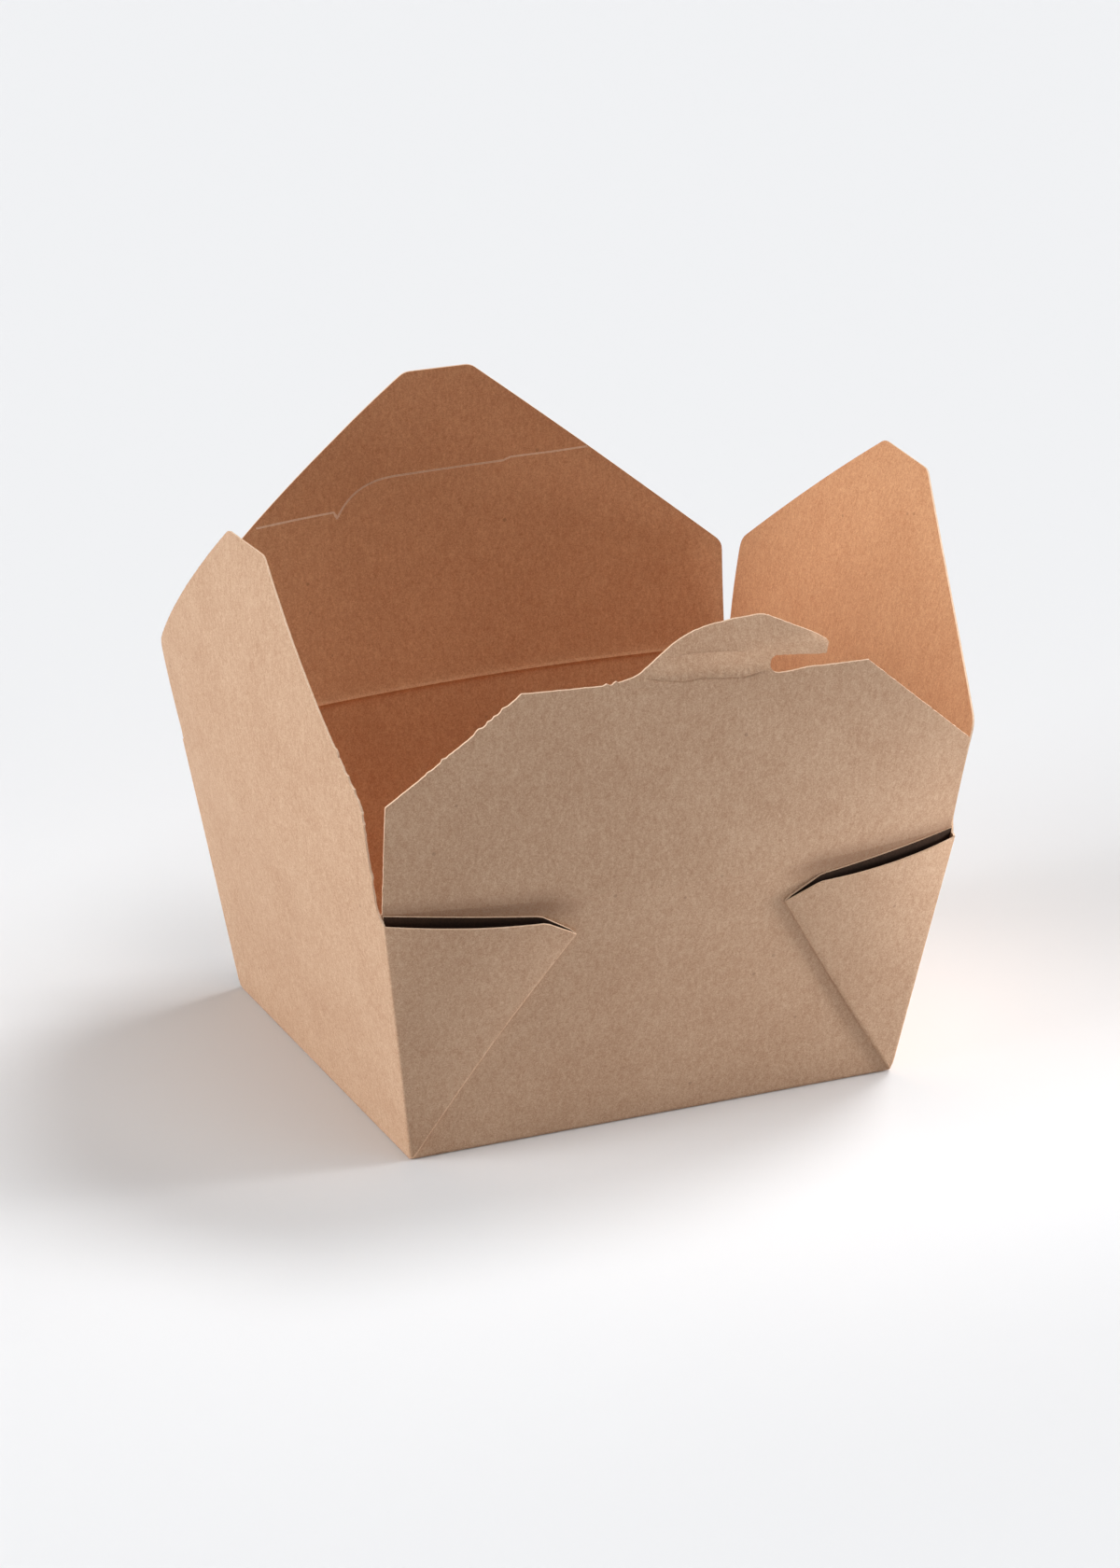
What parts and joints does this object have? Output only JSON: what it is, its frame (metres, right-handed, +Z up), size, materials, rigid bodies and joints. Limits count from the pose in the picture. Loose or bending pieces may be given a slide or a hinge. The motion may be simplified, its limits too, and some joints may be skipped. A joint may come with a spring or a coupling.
{
  "type": "takeaway box",
  "caption": "Open folded kraft board food box with web corners, tapered walls and hinged closing flaps, one with a hooked locking tab.",
  "frame": {"origin": "centre of the base's underside", "axes": "+Z up, -Y out of the front wall that carries the tabbed flap, +X to the right seen from the front"},
  "size_m": [0.1724, 0.1577, 0.1448],
  "materials": {
    "kraft_board": "matte"
  },
  "bodies": {
    "tray": {"tray": "kraft_board"},
    "front_flap": {"front_flap": "kraft_board"},
    "back_flap": {"back_flap": "kraft_board"},
    "left_flap": {"left_flap": "kraft_board"},
    "right_flap": {"right_flap": "kraft_board"}
  },
  "joints": [
    {"name": "front_crease", "type": "hinge", "parent": "tray", "child": "front_flap", "pos_m": [0, -0.06125, 0.066], "axis": [-1, 0, 0], "range_deg": [-100, 92]},
    {"name": "back_crease", "type": "hinge", "parent": "tray", "child": "back_flap", "pos_m": [0, 0.06125, 0.066], "axis": [1, 0, 0], "range_deg": [-97, 101]},
    {"name": "left_crease", "type": "hinge", "parent": "tray", "child": "left_flap", "pos_m": [-0.07243, 0, 0.064], "axis": [0, 1, 0], "range_deg": [-100, 100]},
    {"name": "right_crease", "type": "hinge", "parent": "tray", "child": "right_flap", "pos_m": [0.07243, 0, 0.064], "axis": [0, -1, 0], "range_deg": [-100, 105]}
  ]
}
